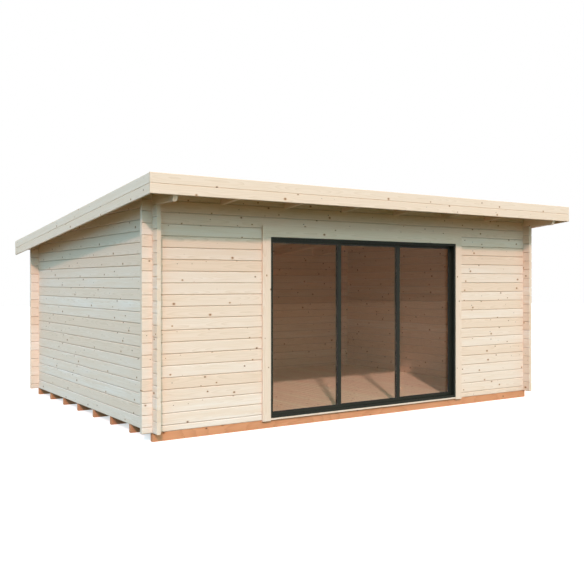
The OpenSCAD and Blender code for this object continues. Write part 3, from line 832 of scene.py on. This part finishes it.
def fill_tone(tree, gaze, way, settings):
    """The fill light's colour: cool from the left, neutral from the far side, greenish when low."""
    left = add(tree, "ShaderNodeMapRange", {"interpolation_type": "SMOOTHSTEP"},
               {"Value": way["X"], "From Min": LEFT_EDGE[0], "From Max": LEFT_EDGE[1]}).outputs[0]
    tone = add(tree, "ShaderNodeMix", {"data_type": "RGBA"},
               {0: left, 6: rgba(settings.sky_tone), 7: rgba(settings.cool_tone)}).outputs[2]
    away = add(tree, "ShaderNodeVectorMath", {"operation": "DOT_PRODUCT"},
               {0: gaze, 1: FAR_WAY}).outputs["Value"]
    away = add(tree, "ShaderNodeMapRange", {"interpolation_type": "SMOOTHSTEP"},
               {"Value": away, "From Min": FAR_EDGE[0], "From Max": FAR_EDGE[1]}).outputs[0]
    tone = add(tree, "ShaderNodeMix", {"data_type": "RGBA"},
               {0: away, 6: tone, 7: rgba(settings.far_tone)}).outputs[2]
    above = add(tree, "ShaderNodeMapRange", {"interpolation_type": "SMOOTHSTEP"},
                {"Value": way["Z"], "From Min": LOW_EDGE[0], "From Max": LOW_EDGE[1]}).outputs[0]
    return add(tree, "ShaderNodeMix", {"data_type": "RGBA"},
               {0: above, 6: rgba(settings.low_tone), 7: tone}).outputs[2]


def fill_power(tree, gaze, way, settings):
    """The fill light's strength: weak from below, less from overhead, more around the key light."""
    high = add(tree, "ShaderNodeMapRange", {"interpolation_type": "SMOOTHSTEP"},
               {"Value": way["Z"], "From Min": SKY_EDGE[0], "From Max": SKY_EDGE[1]}).outputs[0]
    near = add(tree, "ShaderNodeVectorMath", {"operation": "DOT_PRODUCT"},
               {0: gaze, 1: Vector(settings.to_sun).normalized()}).outputs["Value"]
    near = add(tree, "ShaderNodeMapRange", {"interpolation_type": "SMOOTHSTEP"},
               {"Value": near, "From Min": HAZE_EDGE[0], "From Max": HAZE_EDGE[1],
                "To Max": settings.haze}).outputs[0]
    power = add(tree, "ShaderNodeMapRange", None,
                {"Value": high, "To Min": LEAST_SKY * settings.sky,
                 "To Max": FULL_SKY * settings.sky}).outputs[0]
    crown = add(tree, "ShaderNodeMapRange", {"interpolation_type": "SMOOTHSTEP"},
                {"Value": way["Z"], "From Min": CROWN_EDGE[0], "From Max": CROWN_EDGE[1],
                 "To Min": 1.0, "To Max": CROWN_SKY}).outputs[0]
    return add(tree, "ShaderNodeMath", {"operation": "MULTIPLY_ADD"},
               {0: power, 1: crown, 2: near}).outputs[0]


def set_sky(scene, settings):
    """A white world to the eye, which lights surfaces as a tinted sky."""
    world = bpy.data.worlds.new("Studio")
    world.use_nodes = True
    tree = world.node_tree
    tree.nodes.clear()
    gaze = add(tree, "ShaderNodeTexCoord").outputs["Generated"]
    way = add(tree, "ShaderNodeSeparateXYZ", None, {0: gaze}).outputs
    fill = add(tree, "ShaderNodeBackground", None,
               {"Color": fill_tone(tree, gaze, way, settings),
                "Strength": fill_power(tree, gaze, way, settings)}).outputs[0]
    white = add(tree, "ShaderNodeBackground", None, {"Color": WHITE, "Strength": 1.0}).outputs[0]
    sky = add(tree, "ShaderNodeMixShader", None, {0: eye_rays(tree), 1: fill, 2: white}).outputs[0]
    add(tree, "ShaderNodeOutputWorld", None, {"Surface": sky})
    scene.world = world


def lay_floor(scene, settings):
    """A wide pale floor, just below the joists."""
    mesh = bpy.data.meshes.new("Studio floor")
    corners = ((-1, -1), (1, -1), (1, 1), (-1, 1))
    mesh.from_pydata([(x * FLOOR_REACH, y * FLOOR_REACH, 0.0) for x, y in corners], [], [(0, 1, 2, 3)])
    floor = bpy.data.objects.new("studio_floor", mesh)
    scene.collection.objects.link(floor)
    mesh.materials.append(studio_paper("Studio floor", settings))
    floor.location.z = -FLOOR_DROP


class GARDENHOUSE_OT_studio(bpy.types.Operator):
    """Set up the pale floor, the warm key light, the cool fill and the camera"""

    bl_idname = "garden_house.studio"
    bl_label = "Studio"

    def execute(self, context):
        settings = context.scene.garden_house.stage
        context.scene.view_settings.view_transform = "Standard"
        set_camera(context.scene, settings)
        set_key(context.scene, settings)
        set_sky(context.scene, settings)
        lay_floor(context.scene, settings)
        return {"FINISHED"}


# ---------------------------------------------------------------------------- sidebar and run


class GARDENHOUSE_PT_sidebar(bpy.types.Panel):
    """Lists the garden house's operators and settings"""

    bl_idname = "GARDENHOUSE_PT_sidebar"
    bl_label = "Garden House"
    bl_space_type = "VIEW_3D"
    bl_region_type = "UI"
    bl_category = "Garden House"

    def draw(self, context):
        for operator in OPERATORS:
            self.layout.operator(operator.bl_idname)
        house = context.scene.garden_house
        for group in (house.spruce, house.boards, house.door, house.stage):
            box = self.layout.box()
            for name in type(group).__annotations__:
                box.prop(group, name)


SETTINGS = (SpruceSettings, BoardSettings, DoorSettings, StageSettings, GardenHouseSettings)
OPERATORS = (
    GARDENHOUSE_OT_log_walls, GARDENHOUSE_OT_foundation, GARDENHOUSE_OT_floor_boards,
    GARDENHOUSE_OT_roof_boards, GARDENHOUSE_OT_roof_frame, GARDENHOUSE_OT_door_frame,
    GARDENHOUSE_OT_glazing, GARDENHOUSE_OT_studio,
)


def register():
    for cls in (*SETTINGS, *OPERATORS, GARDENHOUSE_PT_sidebar):
        bpy.utils.register_class(cls)
    bpy.types.Scene.garden_house = bpy.props.PointerProperty(type=GardenHouseSettings)


def unregister():
    del bpy.types.Scene.garden_house
    for cls in reversed((*SETTINGS, *OPERATORS, GARDENHOUSE_PT_sidebar)):
        bpy.utils.unregister_class(cls)


def main():
    register()
    bpy.ops.garden_house.log_walls()
    bpy.ops.garden_house.foundation()
    bpy.ops.garden_house.floor_boards()
    bpy.ops.garden_house.roof_boards()
    bpy.ops.garden_house.roof_frame()
    bpy.ops.garden_house.door_frame()
    bpy.ops.garden_house.glazing()
    bpy.ops.garden_house.studio()


if __name__ == "__main__":
    main()
